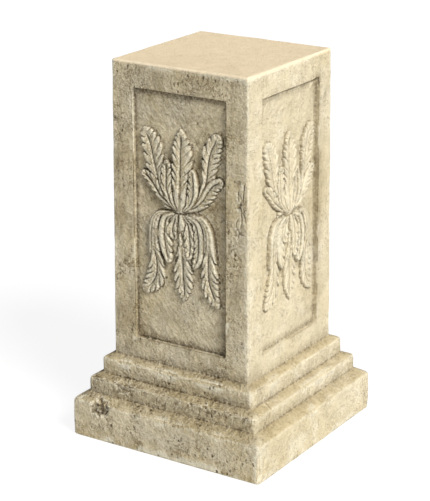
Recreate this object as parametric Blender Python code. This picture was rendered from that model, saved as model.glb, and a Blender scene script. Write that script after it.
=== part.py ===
# Square garden pedestal of cast stone, one casting: a moulded foot of three steps
# and a tall shaft with a sunk panel on each side, each with a spray of acanthus leaves.
# Metres, +Z up, origin at the centre of the underside. The shaft's sides face -Y, +X, +Y and -X.

from math import atan, copysign, cos, floor, pi, radians, sin

import bmesh
import bpy
from mathutils import Matrix, Vector

# Foot: three steps, each with an upright riser and a worn top that slopes up to what stands on it
PLINTH_RISER = 0.070
PLINTH_LEDGE = 0.0215
PLINTH_SLOPE = 0.013
LOWER_STEP_RISER = 0.0255
LOWER_STEP_LEDGE = 0.0175
LOWER_STEP_SLOPE = 0.008
UPPER_STEP_RISER = 0.028
UPPER_STEP_LEDGE = 0.017
UPPER_STEP_SLOPE = 0.0075
STEP_ROUNDING = 0.007

# Shaft: a little wider at its foot than at its top
SHAFT_HEIGHT = 0.534
SHAFT_TOP_WIDTH = 0.274
SHAFT_BATTER = 0.004
SHAFT_ROUNDING = 0.0035

# Panel sunk into each side of the shaft
PANEL_SIDE_MARGIN = 0.043
PANEL_TOP_MARGIN = 0.045
PANEL_FOOT_MARGIN = 0.0385
PANEL_DEPTH = 0.008
PANEL_DRAFT = 0.0015
PANEL_LIP = 0.002

# Spray of leaves in the panel
SPRAY_SIDE_GAP = 0.011
SPRAY_END_GAP = 0.030
SPRAY_RAISE = 0.013
RELIEF_RISE = 0.0105
RELIEF_ROOT = 0.003

# Shares of the spray's own size, and how its leaves are cut
SPRAY_WIDTH_SHARES = 168
SPRAY_HEIGHT_SHARES = 302
SPRAY_TIP_SHARE = 145
LEAF_NOTCH = 0.30
LEAF_SWEEP = 0.45
VALLEY_DROP = 0.35
ROOT_STAGGER = 0.02
SMOOTH_ROWS = 6
# Heights across a leaf, at its spine, halfway and at its edge, for one ridge or two with a groove
LEAF_PROFILES = {1: (1.0, 1.0, 0.38), 2: (0.62, 1.0, 0.38)}

ROUNDING_SEGMENTS = 3
CHIP_TWIST = radians(37)
CHIP_PROUD = 0.0006
CURVE_STEP = 0.01
SLIVER = 0.0001
SAME_PLACE = 1e-5

# The leaves of one half of the spray. Places and widths are shares of the spray's own size:
# u across from its axis, v up from the tie, where 302 shares are its whole height. "out" and "in"
# are the widths to the panel's side and to the axis of the spine, evenly spaced from base to tip.
# "crest" is the height along the spine as a share of the relief's rise.
SIDE_LEAVES = {
    "tall": {
        "spine": ((20, 4), (41, 32), (48, 66), (55, 102), (77, 139)),
        "out": (4, 7, 26, 24, 15, 2), "in": (4, 6, 14, 21, 18, 2),
        "crest": (0.50, 0.55, 0.60, 0.60, 0.50), "lobes": (4, 4), "smooth": 0.36, "ridges": 2,
    },
    "low": {
        "spine": ((8, 4), (30, 13), (52, 33), (68, 53), (84, 64)),
        "out": (3, 7, 13, 12, 7, 2), "in": (3, 8, 11, 11, 6, 2),
        "crest": (0.60, 0.55, 0.50, 0.50, 0.45), "lobes": (3, 3), "smooth": 0.30, "ridges": 2,
    },
    "inner": {
        "spine": ((8, 5), (26, 20), (32, 46), (28, 66), (26, 80)),
        "out": (3, 4, 5, 6, 5, 2), "in": (3, 9, 11, 10, 6, 2),
        "crest": (0.60, 0.70, 0.75, 0.72, 0.60), "lobes": (0, 3), "smooth": 0.20, "ridges": 1,
    },
    "outer_droop": {
        "spine": ((16, -4), (46, -14), (61, -45), (56, -88), (60, -124), (77, -156)),
        "out": (4, 10, 11, 15, 20, 17, 2), "in": (4, 9, 10, 10, 22, 20, 2),
        "crest": (0.75, 1.00, 0.85, 0.62, 0.58, 0.45), "lobes": (4, 4), "smooth": 0.50, "ridges": 2,
    },
    "inner_droop": {
        "spine": ((10, -6), (30, -14), (37, -42), (34, -72), (26, -95)),
        "out": (3, 8, 9, 9, 7, 2), "in": (3, 9, 12, 13, 8, 2),
        "crest": (0.80, 0.95, 0.85, 0.75, 0.55), "lobes": (0, 4), "smooth": 0.16, "ridges": 1,
    },
    "curl": {
        "spine": ((6, -6), (14, -26), (17, -52), (18, -86)),
        "out": (3, 5, 5, 5, 2), "in": (3, 6, 6, 6, 2),
        "crest": (0.85, 0.95, 0.85, 0.60), "lobes": (0, 2), "smooth": 0.30, "ridges": 1,
    },
}

# The leaves on the spray's axis, which are whole, and the low tie between the two halves
MIDDLE_LEAVES = {
    "tie": {
        "spine": ((-27, 1), (0, -3), (27, 1)),
        "out": (3, 6, 6, 3), "in": (3, 6, 6, 3),
        "crest": (0.30, 0.50, 0.30), "lobes": (0, 0), "smooth": 0.30, "ridges": 1,
    },
    "centre": {
        "spine": ((0, 3), (0, 50), (1, 100), (2, 145)),
        "out": (9, 15, 21, 25, 18, 2), "in": (9, 15, 20, 20, 13, 2),
        "crest": (0.70, 0.75, 0.72, 0.55), "lobes": (4, 4), "smooth": 0.25, "ridges": 2,
    },
    "bud": {
        "spine": ((1, -8), (-1, -40), (-1, -68)),
        "out": (7, 8, 7, 1.5), "in": (7, 8, 7, 1.5),
        "crest": (0.75, 0.70, 0.55), "lobes": (0, 0), "smooth": 0.30, "ridges": 1,
    },
    "foot": {
        "spine": ((4, -60), (4, -105), (6, -157)),
        "out": (8, 17, 20, 16, 2), "in": (8, 17, 20, 15, 2),
        "crest": (0.55, 0.60, 0.50), "lobes": (4, 4), "smooth": 0.20, "ridges": 2,
    },
}

# Broken places in the foot: which side and step, the distance from the side's left corner and
# below the riser's top, and the size across, up and into the stone
CHIPS = (
    {"side": 0, "step": "plinth", "from_corner": 0.059, "below": 0.008,
     "size": (0.038, 0.032, 0.007)},
    {"side": 0, "step": "lower", "from_corner": 0.0755, "below": 0.004,
     "size": (0.026, 0.024, 0.0025)},
    {"side": 1, "step": "upper", "from_corner": 0.030, "below": 0.0135,
     "size": (0.028, 0.030, 0.003)},
    {"side": 1, "step": "lower", "from_corner": 0.186, "below": 0.019,
     "size": (0.010, 0.016, 0.004)},
)

shaft_foot_width = SHAFT_TOP_WIDTH + 2 * SHAFT_BATTER
upper_step_width = shaft_foot_width + 2 * UPPER_STEP_LEDGE
lower_step_width = upper_step_width + 2 * LOWER_STEP_LEDGE
plinth_width = lower_step_width + 2 * PLINTH_LEDGE

lower_step_foot = PLINTH_RISER + PLINTH_SLOPE
lower_step_top = lower_step_foot + LOWER_STEP_RISER
upper_step_foot = lower_step_top + LOWER_STEP_SLOPE
upper_step_top = upper_step_foot + UPPER_STEP_RISER
shaft_foot = upper_step_top + UPPER_STEP_SLOPE
shaft_top = shaft_foot + SHAFT_HEIGHT
shaft_lean = atan(SHAFT_BATTER / SHAFT_HEIGHT)
# Each step's width, and the foot and top of its riser
steps = {
    "plinth": (plinth_width, 0.0, PLINTH_RISER),
    "lower": (lower_step_width, lower_step_foot, lower_step_top),
    "upper": (upper_step_width, upper_step_foot, upper_step_top),
}

panel_width = SHAFT_TOP_WIDTH - 2 * PANEL_SIDE_MARGIN
panel_foot = shaft_foot + PANEL_FOOT_MARGIN
panel_top = shaft_top - PANEL_TOP_MARGIN
panel_height = panel_top - panel_foot

# The spray fills the panel's width, unless the panel is too short for it
share = min(
    (panel_width - 2 * SPRAY_SIDE_GAP) / SPRAY_WIDTH_SHARES,
    (panel_height - 2 * SPRAY_END_GAP) / SPRAY_HEIGHT_SHARES,
)
tie_height = (panel_foot + panel_top) / 2 + SPRAY_RAISE
tie_height += (SPRAY_HEIGHT_SHARES / 2 - SPRAY_TIP_SHARE) * share


def clear_scene():
    for old in list(bpy.data.objects):
        bpy.data.objects.remove(old, do_unlink=True)


def stone_material():
    stone = bpy.data.materials.new("cast_stone")
    stone.use_nodes = True
    shader = stone.node_tree.nodes["Principled BSDF"]
    shader.inputs["Base Color"].default_value = (0.58, 0.51, 0.38, 1.0)
    shader.inputs["Roughness"].default_value = 0.9
    shader.inputs["Metallic"].default_value = 0.0
    return stone


def new_object(name, bm):
    """Make an object of a finished bmesh, with its faces pointing out."""
    bmesh.ops.recalc_face_normals(bm, faces=bm.faces)
    mesh = bpy.data.meshes.new(name)
    bm.to_mesh(mesh)
    bm.free()
    made = bpy.data.objects.new(name, mesh)
    bpy.context.scene.collection.objects.link(made)
    return made


def shaft_half_width(height):
    return shaft_foot_width / 2 - SHAFT_BATTER * (height - shaft_foot) / SHAFT_HEIGHT


def side_frame(side, distance, height, lean=0.0):
    """Frame on one side of the pedestal: x along the side, y up it, z out of it."""
    turn = Matrix.Rotation(radians(90) * side, 4, "Z")
    stand = Matrix.Rotation(radians(90) - lean, 4, "X")
    return turn @ Matrix.Translation((0, -distance, height)) @ stand


def raise_square(bm, top, width, height):
    """Extrude the top face to a square of the given width at the given height."""
    raised = bmesh.ops.extrude_discrete_faces(bm, faces=[top])["faces"][0]
    for vert in raised.verts:
        vert.co = (copysign(width / 2, vert.co.x), copysign(width / 2, vert.co.y), height)
    return raised


def sink_panel(bm, side):
    """Sink the panel into one side of the shaft, with a rounded lip and a little draft."""
    along = Vector((side.normal.y, -side.normal.x, 0)).normalized()
    up = side.normal.cross(along)
    up *= copysign(1, up.z) / abs(up.z)
    bmesh.ops.inset_individual(bm, faces=[side], thickness=PANEL_SIDE_MARGIN)
    middle = side.calc_center_median().z
    for vert in side.verts:
        edge_height = panel_top if vert.co.z > middle else panel_foot
        vert.co += up * (edge_height - vert.co.z)
        across = vert.co.dot(along)
        vert.co += along * (copysign(panel_width / 2, across) - across)
    # Quarter round of the lip, then the wall, which leaves the panel's floor
    turned = 0.0
    for step in range(1, ROUNDING_SEGMENTS + 1):
        angle = pi / 2 * step / ROUNDING_SEGMENTS
        inward = PANEL_LIP * (sin(angle) - sin(turned))
        down = PANEL_LIP * (cos(turned) - cos(angle))
        bmesh.ops.inset_individual(bm, faces=[side], thickness=inward, depth=-down)
        turned = angle
    bmesh.ops.inset_individual(
        bm, faces=[side], thickness=PANEL_DRAFT, depth=-(PANEL_DEPTH - PANEL_LIP))


def round_edges(bm, rounding, wanted):
    """Round the edges for which wanted(lower end, upper end) is true."""
    chosen = []
    for edge in bm.edges:
        low, high = sorted((vert.co for vert in edge.verts), key=lambda place: place.z)
        if wanted(low, high):
            chosen.append(edge)
    bmesh.ops.bevel(
        bm, geom=chosen, offset=rounding, offset_type="OFFSET", segments=ROUNDING_SEGMENTS,
        profile=0.5, affect="EDGES", clamp_overlap=True, material=-1)


def same(first, second):
    return abs(first - second) < SAME_PLACE


def is_step_edge(low, high):
    """A riser's corner, or the upper edge of a riser."""
    for width, foot, top in steps.values():
        outer = same(max(abs(low.x), abs(low.y)), width / 2)
        if outer and same(high.z, top) and (same(low.z, top) or same(low.z, foot)):
            return True
    return False


def is_shaft_edge(low, high):
    """A corner of the shaft, or an edge of its top."""
    if not same(high.z, shaft_top) or not same(abs(high.x), abs(high.y)):
        return False
    return same(abs(low.x), abs(low.y)) and (same(low.z, shaft_top) or same(low.z, shaft_foot))


def body():
    """The pedestal without its relief: steps, shaft and sunk panels."""
    bm = bmesh.new()
    bmesh.ops.create_cube(bm, size=plinth_width)
    bmesh.ops.scale(bm, vec=(1, 1, PLINTH_RISER / plinth_width), verts=bm.verts)
    bmesh.ops.translate(bm, vec=(0, 0, PLINTH_RISER / 2), verts=bm.verts)
    top = max(bm.faces, key=lambda face: face.calc_center_median().z)
    for width, height in (
            (lower_step_width, lower_step_foot),
            (lower_step_width, lower_step_top),
            (upper_step_width, upper_step_foot),
            (upper_step_width, upper_step_top),
            (shaft_foot_width, shaft_foot),
            (SHAFT_TOP_WIDTH, shaft_top)):
        top = raise_square(bm, top, width, height)
    bmesh.ops.recalc_face_normals(bm, faces=bm.faces)
    bm.normal_update()
    shaft_sides = [
        face for face in bm.faces
        if same(face.calc_center_median().z, (shaft_foot + shaft_top) / 2)]
    for side in shaft_sides:
        sink_panel(bm, side)
    round_edges(bm, STEP_ROUNDING, is_step_edge)
    round_edges(bm, SHAFT_ROUNDING, is_shaft_edge)
    return new_object("pedestal", bm)


def smooth_at(values, place):
    """Read evenly spaced numbers or points at a place from 0 to 1, along a smooth curve."""
    last = len(values) - 1
    index = min(floor(place * last), last - 1)
    part = place * last - index
    before = values[max(index - 1, 0)]
    start = values[index]
    end = values[index + 1]
    after = values[min(index + 2, last)]
    return 0.5 * (
        2 * start + (end - before) * part
        + (2 * before - 5 * start + 4 * end - after) * part ** 2
        + (3 * start - before - 3 * end + after) * part ** 3)


def lobe_tooth(place, lobes, smooth):
    """1 at the point of a lobe, 0 in the notch between two, and 1 where the edge is smooth."""
    if not lobes or place <= smooth:
        return 1.0
    phase = (place - smooth) / (1 - smooth) * lobes
    return 1 - abs(2 * (phase % 1.0) - 1)


def leaf_rows(leaf):
    """Places along a leaf: a few on its smooth part, then each notch and each lobe's point."""
    lobes = max(leaf["lobes"])
    smooth = leaf["smooth"]
    plain = max(1, round(smooth * SMOOTH_ROWS))
    rows = [smooth * row / plain for row in range(plain)]
    cut = 2 * lobes if lobes else 3
    rows += [smooth + (1 - smooth) * row / cut for row in range(cut + 1)]
    return rows


def leaf_point(leaf, across, place):
    """Point of a leaf's upper face; across runs from -1 at its inner edge to 1 at its outer."""
    spine = [Vector(point) for point in leaf["spine"]]
    here = smooth_at(spine, place)
    ahead = smooth_at(spine, min(place + CURVE_STEP, 1.0))
    behind = smooth_at(spine, max(place - CURVE_STEP, 0.0))
    along = (ahead - behind).normalized()
    outward = Vector((along.y, -along.x))
    if spine[-1].y < spine[0].y:
        outward.negate()
    outer_side = across > 0
    lobes = leaf["lobes"][0 if outer_side else 1]
    tooth = lobe_tooth(place, lobes, leaf["smooth"])
    widths = leaf["out"] if outer_side else leaf["in"]
    reach = abs(across) * smooth_at(widths, place) * (1 - LEAF_NOTCH * (1 - tooth))
    sweep = LEAF_SWEEP * abs(across) * reach if lobes and 0 < place < 1 else 0.0
    spot = here + outward * copysign(reach, across) + along * sweep
    crest = smooth_at(leaf["crest"], place)
    across_profile = LEAF_PROFILES[leaf["ridges"]][round(abs(across) * 2)]
    valley = VALLEY_DROP * (1 - tooth) * (0.5 if across else 0.0)
    height = RELIEF_RISE * crest * (across_profile - valley)
    return Vector((spot.x * share, spot.y * share, height))


def leaf_solid(name, leaf, mirror, root):
    """One leaf as a closed solid that stands in the panel's floor."""
    rows = leaf_rows(leaf)
    bm = bmesh.new()
    strips = 2 * leaf["ridges"]
    bmesh.ops.create_grid(bm, x_segments=strips, y_segments=len(rows) - 1, size=1)
    for vert in bm.verts:
        row = round((vert.co.y + 1) / 2 * (len(rows) - 1))
        vert.co = leaf_point(leaf, round(vert.co.x * 2) / 2, rows[row])
        vert.co.x *= mirror
    bmesh.ops.triangulate(bm, faces=bm.faces)
    grown = bmesh.ops.extrude_face_region(bm, geom=list(bm.faces))
    for item in grown["geom"]:
        if isinstance(item, bmesh.types.BMVert):
            item.co.z = -root
    return new_object(name, bm)


def without_slivers(mesh):
    """Merge the hair-thin faces that crossing leaves leave behind, and keep every face flat."""
    bm = bmesh.new()
    bm.from_mesh(mesh)
    bmesh.ops.remove_doubles(bm, verts=bm.verts, dist=SLIVER)
    bmesh.ops.dissolve_degenerate(bm, dist=SLIVER, edges=bm.edges)
    showing = [face for face in bm.faces if all(vert.co.z > 0 for vert in face.verts)]
    bmesh.ops.triangulate(bm, faces=showing)
    bm.to_mesh(mesh)
    bm.free()
    return mesh


def unite(target, tools):
    """Join a list of solids to the target by a Boolean union; they stay as hidden helpers."""
    group = bpy.data.collections.new(target.name + "_parts")
    bpy.context.scene.collection.children.link(group)
    for tool in tools:
        group.objects.link(tool)
        tool.hide_render = True
        tool.display_type = "WIRE"
    joined = target.modifiers.new("unite", "BOOLEAN")
    joined.operation = "UNION"
    joined.solver = "EXACT"
    joined.operand_type = "COLLECTION"
    joined.collection = group


def spray_mesh():
    """All the leaves of one panel, united into one mesh."""
    leaves = [(name, leaf, 1) for name, leaf in MIDDLE_LEAVES.items()]
    leaves += [(name + "_right", leaf, 1) for name, leaf in SIDE_LEAVES.items()]
    leaves += [(name + "_left", leaf, -1) for name, leaf in SIDE_LEAVES.items()]
    # Each leaf is rooted a little deeper than the last, so that no two undersides share a plane
    solids = []
    for count, (name, leaf, mirror) in enumerate(leaves):
        solids.append(leaf_solid(name, leaf, mirror, RELIEF_ROOT * (1 + ROOT_STAGGER * count)))
    unite(solids[0], solids[1:])
    graph = bpy.context.evaluated_depsgraph_get()
    united = bpy.data.meshes.new_from_object(solids[0].evaluated_get(graph))
    for solid in solids:
        bpy.data.objects.remove(solid, do_unlink=True)
    return without_slivers(united)


def add_sprays(pedestal):
    """The same spray stands on the floor of each of the four panels."""
    mesh = spray_mesh()
    distance = shaft_half_width(tie_height) - PANEL_DEPTH / cos(shaft_lean)
    sprays = []
    for side in range(4):
        spray = bpy.data.objects.new("spray_" + str(side), mesh)
        bpy.context.scene.collection.objects.link(spray)
        spray.matrix_world = side_frame(side, distance, tie_height, shaft_lean)
        sprays.append(spray)
    unite(pedestal, sprays)


def cut_chips(pedestal):
    """Shallow broken places in the edges and risers of the foot."""
    for count, chip in enumerate(CHIPS):
        bm = bmesh.new()
        bmesh.ops.create_icosphere(bm, subdivisions=2, radius=1.0)
        twist = Matrix.Rotation(CHIP_TWIST * count, 3, "Z")
        bmesh.ops.rotate(bm, matrix=twist, verts=bm.verts)
        across, tall, deep = chip["size"]
        bmesh.ops.scale(bm, vec=(across / 2, tall / 2, deep), verts=bm.verts)
        width, _, top = steps[chip["step"]]
        place = side_frame(chip["side"], width / 2, top - chip["below"])
        place @= Matrix.Translation((chip["from_corner"] - width / 2, 0, CHIP_PROUD))
        bmesh.ops.transform(bm, matrix=place, verts=bm.verts)
        cutter = new_object("chip_" + str(count), bm)
        cutter.hide_render = True
        cutter.display_type = "WIRE"
        cut = pedestal.modifiers.new("chip_" + str(count), "BOOLEAN")
        cut.operation = "DIFFERENCE"
        cut.solver = "EXACT"
        cut.object = cutter


clear_scene()
pedestal = body()
pedestal.data.materials.append(stone_material())
add_sprays(pedestal)
cut_chips(pedestal)
weld = pedestal.modifiers.new("weld", "WELD")
weld.merge_threshold = SLIVER / 2
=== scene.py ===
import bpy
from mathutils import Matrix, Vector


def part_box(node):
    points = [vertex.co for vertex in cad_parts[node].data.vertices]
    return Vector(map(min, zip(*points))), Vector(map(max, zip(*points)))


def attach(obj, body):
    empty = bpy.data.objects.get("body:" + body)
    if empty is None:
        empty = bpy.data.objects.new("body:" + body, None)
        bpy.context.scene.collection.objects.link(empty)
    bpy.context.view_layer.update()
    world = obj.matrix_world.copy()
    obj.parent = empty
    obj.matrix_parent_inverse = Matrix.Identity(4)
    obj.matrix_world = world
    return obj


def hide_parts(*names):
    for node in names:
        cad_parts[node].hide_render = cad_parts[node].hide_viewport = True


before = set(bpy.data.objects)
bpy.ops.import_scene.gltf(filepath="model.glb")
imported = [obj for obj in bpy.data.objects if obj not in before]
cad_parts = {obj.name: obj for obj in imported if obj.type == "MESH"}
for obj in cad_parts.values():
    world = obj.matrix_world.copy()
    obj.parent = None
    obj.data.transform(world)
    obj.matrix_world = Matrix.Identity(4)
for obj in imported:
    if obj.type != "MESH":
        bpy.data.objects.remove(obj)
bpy.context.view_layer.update()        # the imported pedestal: one node on one body

from math import atan, cos, pi, radians, sin

import bmesh
import bpy
import numpy as np
from mathutils import Matrix, Vector, noise
from mathutils.bvhtree import BVHTree

lowCorner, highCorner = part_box("pedestal")
mm = 0.001

# The body: plinth, two steps and a shaft with a sunk panel on each side, in metres
footShape = {
    "plinthRiser": 0.070, "plinthLedge": 0.0215, "plinthSlope": 0.013,
    "lowerRiser": 0.0255, "lowerLedge": 0.0175, "lowerSlope": 0.008,
    "upperRiser": 0.028, "upperLedge": 0.017, "upperSlope": 0.0075,
    "baseRounding": 0.003, "stepRounding": 0.0042, "creaseRounding": 0.002, "cornerRounding": 0.007,
}
shaftShape = {
    "batter": 0.004, "topRounding": 0.004, "cornerRounding": 0.0040,
    "panelHalf": 0.094, "panelTopMargin": 0.045, "panelFootMargin": 0.0385,
    "topLift": (0.55, 0.6, 0.5, 0.4), "topLiftReach": 0.050,    # each side's floor rises to its top edge
}
panelRings = ((0.4, 0.3), (0.5, 3.3), (0.6, 3.6), (0.5, 0.8))    # how far in and down, mm
bodyGrid = {"cell": 0.0148, "curveSteps": 4, "cornerSteps": 2, "marginCells": 3, "panelCells": 13}

plinthHalf = (highCorner[0] - lowCorner[0]) / 2
shaftTop = highCorner[2]
lowerHalf = plinthHalf - footShape["plinthLedge"]
upperHalf = lowerHalf - footShape["lowerLedge"]
shaftFootHalf = upperHalf - footShape["upperLedge"]
shaftTopHalf = shaftFootHalf - shaftShape["batter"]
plinthTop = footShape["plinthRiser"]
lowerFoot = plinthTop + footShape["plinthSlope"]
lowerTop = lowerFoot + footShape["lowerRiser"]
upperFoot = lowerTop + footShape["lowerSlope"]
upperTop = upperFoot + footShape["upperRiser"]
shaftFoot = upperTop + footShape["upperSlope"]
panelFoot = shaftFoot + shaftShape["panelFootMargin"]
panelTop = shaftTop - shaftShape["panelTopMargin"]
panelHalf = shaftShape["panelHalf"]
panelInset = sum(across for across, down in panelRings) * mm
panelDepth = sum(down for across, down in panelRings) * mm
shaftLean = atan(shaftShape["batter"] / (shaftTop - shaftFoot))

# The spray's leaves, in millimetres from the tie: u to the right, v up. "left" and "right" are
# the widths to either side of the spine as one sees it, evenly spaced from base to tip. "edge"
# and "crest" are heights over the panel's floor, "lobe" is the spacing of the lobes on each
# side (0 for a smooth side), "lean" how far the lobes lean towards the tip, "cut" where along
# the leaf they begin, and "reeds" the number of ribs along the stalk.
spray = {
    "tieAboveMiddle": (19, 5, 12, 16), "tieAside": -1.0, "wall": 1.5, "notch": 0.32, "notchAt": 0.66,
    "scallop": 5.2, "ripple": 1.1, "valley": 1.7, "swell": 1.6, "bead": 0.4, "midGroove": 1.9,
    "troughHalf": 3.0, "reed": 1.3, "cup": 3.6, "undercut": 0.7, "rim": 1.5, "spineSteps": 40,
    "sweepPower": 0.7, "crowding": 0.25, "valleyHalf": 0.85, "middleHalf": 1.0, "beadHalf": 2.2,
}
leaves = {
    "lowerMass": {
        "spine": ((0, -8), (0, -30), (1, -55), (3, -78)),
        "left": (34, 46, 44, 34), "right": (36, 48, 46, 34),
        "edge": (2.6, 2.8, 1.4), "crest": (3.4, 3.6, 2.0),
        "lobe": (0, 0), "lean": (0, 0), "cut": 1.0, "reeds": 0,
    },
    "upperMass": {
        "spine": ((0, 6), (0, 24), (0, 44), (0, 62)),
        "left": (16, 30, 36, 26), "right": (16, 32, 38, 28),
        "edge": (2.4, 2.2, 1.2), "crest": (3.0, 3.0, 1.8),
        "lobe": (0, 0), "lean": (0, 0), "cut": 1.0, "reeds": 0,
    },
    "foot": {
        "spine": ((4, -66), (4, -90), (5, -115), (6, -138), (7, -159)),
        "left": (10, 17, 21, 18, 4), "right": (12, 18, 21, 18, 4),
        "edge": (2.5, 2.6, 2.2), "crest": (5.0, 6.5, 4.0),
        "lobe": (22, 20), "lean": (2.4, 2.2), "cut": 0.10, "reeds": 2,
    },
    "lowerCollar": {
        "spine": ((-38, -9), (0, -6), (42, -10)),
        "left": (5, 10, 5), "right": (5, 10, 5),
        "edge": (3.6, 4.4, 3.6), "crest": (5.0, 5.6, 5.0),
        "lobe": (0, 0), "lean": (0, 0), "cut": 1.0, "reeds": 0,
    },
    "outerDroopLeft": {
        "spine": ((-16, -4), (-42, -9), (-52, -26), (-53.5, -48), (-53, -72), (-49, -97), (-51, -121),
                  (-60, -138), (-71, -149), (-79, -154)),
        "left": (4, 5, 10, 10.5, 11, 15, 21, 19, 7), "right": (4, 5, 9, 11, 11, 14, 21, 18, 7),
        "edge": (5.0, 5.8, 5.0, 3.4, 2.6), "crest": (6.8, 8.4, 7.8, 6.2, 4.6),
        "lobe": (24, 20), "lean": (2.6, 2.2), "cut": 0.50, "reeds": 3,
    },
    "outerDroopRight": {
        "spine": ((16, -4), (44, -6), (57, -24), (59, -48), (58, -70), (57, -92), (58, -115),
                  (65, -136), (73, -151), (78, -159)),
        "left": (4, 5, 10, 12, 11, 13, 17, 19, 4), "right": (4, 5, 8, 10, 14, 20, 21, 14, 4),
        "edge": (5.0, 5.8, 5.0, 3.4, 2.6), "crest": (6.8, 8.6, 8.0, 6.4, 4.6),
        "lobe": (21, 24), "lean": (2.3, 2.5), "cut": 0.46, "reeds": 3,
    },
    "upperCollar": {
        "spine": ((-30, 7), (0, 7), (36, 8)),
        "left": (3, 8, 3), "right": (4, 8, 4),
        "edge": (3.4, 4.4, 3.4), "crest": (4.6, 5.4, 4.6),
        "lobe": (0, 0), "lean": (0, 0), "cut": 1.0, "reeds": 0,
    },
    "tallLeft": {
        "spine": ((-14, 6), (-30, 22), (-42, 42), (-48, 63), (-54, 85), (-60, 110), (-68, 129), (-73, 140)),
        "left": (4, 7, 10, 18, 20, 18, 11), "right": (4, 7, 9, 15, 24, 24, 11),
        "edge": (4.2, 3.4, 3.4, 3.0), "crest": (5.6, 5.8, 6.6, 5.0),
        "lobe": (23, 18), "lean": (1.6, 1.4), "cut": 0.36, "reeds": 2,
    },
    "tallRight": {
        "spine": ((18, 6), (34, 20), (46, 40), (53, 64), (56, 88), (61, 113), (72, 134), (80, 145)),
        "left": (4, 6, 8, 10, 15, 18, 10), "right": (4, 7, 9, 16, 22, 20, 10),
        "edge": (4.2, 3.4, 3.4, 3.0), "crest": (5.6, 5.8, 6.6, 5.2),
        "lobe": (23, 15), "lean": (1.6, 1.2), "cut": 0.38, "reeds": 2,
    },
    "lowLeft": {
        "spine": ((-8, 6), (-24, 14), (-40, 25), (-52, 38), (-62, 49), (-74, 58), (-80, 61)),
        "left": (3, 6, 8, 9, 9, 6), "right": (3, 6, 9, 12, 13, 6),
        "edge": (3.5, 3.2, 2.4), "crest": (5.5, 6.4, 4.4),
        "lobe": (16, 17), "lean": (1.8, 1.7), "cut": 0.45, "reeds": 2,
    },
    "lowRight": {
        "spine": ((14, 5), (32, 14), (46, 28), (57, 45), (66, 56), (77, 63), (86, 67)),
        "left": (3, 5, 7, 9, 10, 8), "right": (3, 8, 14, 17, 14, 8),
        "edge": (3.5, 3.2, 2.6), "crest": (5.5, 6.4, 4.6),
        "lobe": (0, 15), "lean": (0.9, 1.2), "cut": 0.30, "reeds": 2,
    },
    "centre": {
        "spine": ((0, 4), (0, 27), (0, 50), (0.5, 73), (1, 95), (1.5, 118), (2, 146)),
        "left": (10, 15, 18, 18, 18, 16, 4), "right": (10, 15, 18, 22, 26, 20, 4),
        "edge": (4.0, 4.0, 3.4, 2.8), "crest": (6.4, 7.8, 7.4, 5.0),
        "lobe": (19, 21), "lean": (1.7, 1.5), "cut": 0.22, "reeds": 2,
    },
    "innerLeft": {
        "spine": ((-8, 5), (-20, 18), (-27, 36), (-28, 54), (-28, 72), (-26, 89)),
        "left": (3, 6, 10, 11, 10, 6), "right": (3, 8, 11, 12, 12, 6),
        "edge": (4.2, 4.4, 3.8), "crest": (6.4, 7.6, 6.4),
        "lobe": (18, 19), "lean": (1.8, 1.8), "cut": 0.24, "reeds": 2,
    },
    "innerRight": {
        "spine": ((10, 5), (20, 16), (27, 32), (28, 48), (27, 64), (24, 79)),
        "left": (3, 9, 14, 13, 10, 6), "right": (3, 7, 9, 10, 8, 6),
        "edge": (4.2, 4.4, 3.8), "crest": (6.4, 7.8, 6.6),
        "lobe": (19, 0), "lean": (1.9, 0), "cut": 0.14, "reeds": 2,
    },
    "innerDroopLeft": {
        "spine": ((-14, -6), (-28, -16), (-32, -36), (-31, -56), (-28, -76), (-21, -94)),
        "left": (4, 11, 13, 13, 10, 6), "right": (3, 7, 13, 17, 13, 6),
        "edge": (5.0, 5.6, 4.2), "crest": (6.8, 8.6, 7.0),
        "lobe": (0, 23), "lean": (0, 2.3), "cut": 0.06, "reeds": 2,
    },
    "innerDroopRight": {
        "spine": ((14, -5), (32, -16), (38, -34), (39, -54), (37, -75), (29, -95)),
        "left": (3, 7, 11, 13, 10, 6), "right": (4, 10, 12, 11, 10, 6),
        "edge": (5.0, 5.6, 4.2), "crest": (6.8, 8.8, 7.0),
        "lobe": (17, 0), "lean": (1.7, 0), "cut": 0.08, "reeds": 2,
    },
    "curlLeft": {
        "spine": ((-6, -6), (-12, -20), (-15, -36), (-9, -50)),
        "left": (3, 10, 12, 5), "right": (3, 9, 10, 5),
        "edge": (5.2, 5.4, 4.6), "crest": (7.0, 8.2, 7.0),
        "lobe": (20, 18), "lean": (1.9, 1.8), "cut": 0.12, "reeds": 2,
    },
    "curlRight": {
        "spine": ((8, -6), (17, -22), (20, -45), (20, -66), (17, -82)),
        "left": (3, 8, 12, 12, 5), "right": (3, 8, 10, 9, 5),
        "edge": (5.2, 5.4, 4.4), "crest": (7.0, 8.4, 6.8),
        "lobe": (20, 21), "lean": (1.9, 1.9), "cut": 0.10, "reeds": 2,
    },
    "finger": {
        "spine": ((3, -5), (5, -16), (4, -32)),
        "left": (4, 7, 5), "right": (4, 7, 5),
        "edge": (5.2, 6.0, 5.0), "crest": (7.4, 9.2, 7.6),
        "lobe": (0, 0), "lean": (0, 0), "cut": 1.0, "reeds": 1,
    },
    "bud": {
        "spine": ((0, -40), (1, -50), (0, -61)),
        "left": (3, 5, 3), "right": (3, 5, 3),
        "edge": (4.0, 4.0, 3.0), "crest": (6.0, 6.4, 4.6),
        "lobe": (0, 0), "lean": (0, 0), "cut": 1.0, "reeds": 0,
    },
}
tieGroove = {"line": ((-46, 1), (-26, -1), (0, -2), (26, -1.5), (50, 1)), "half": 1.0, "deep": 1.7}

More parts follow.
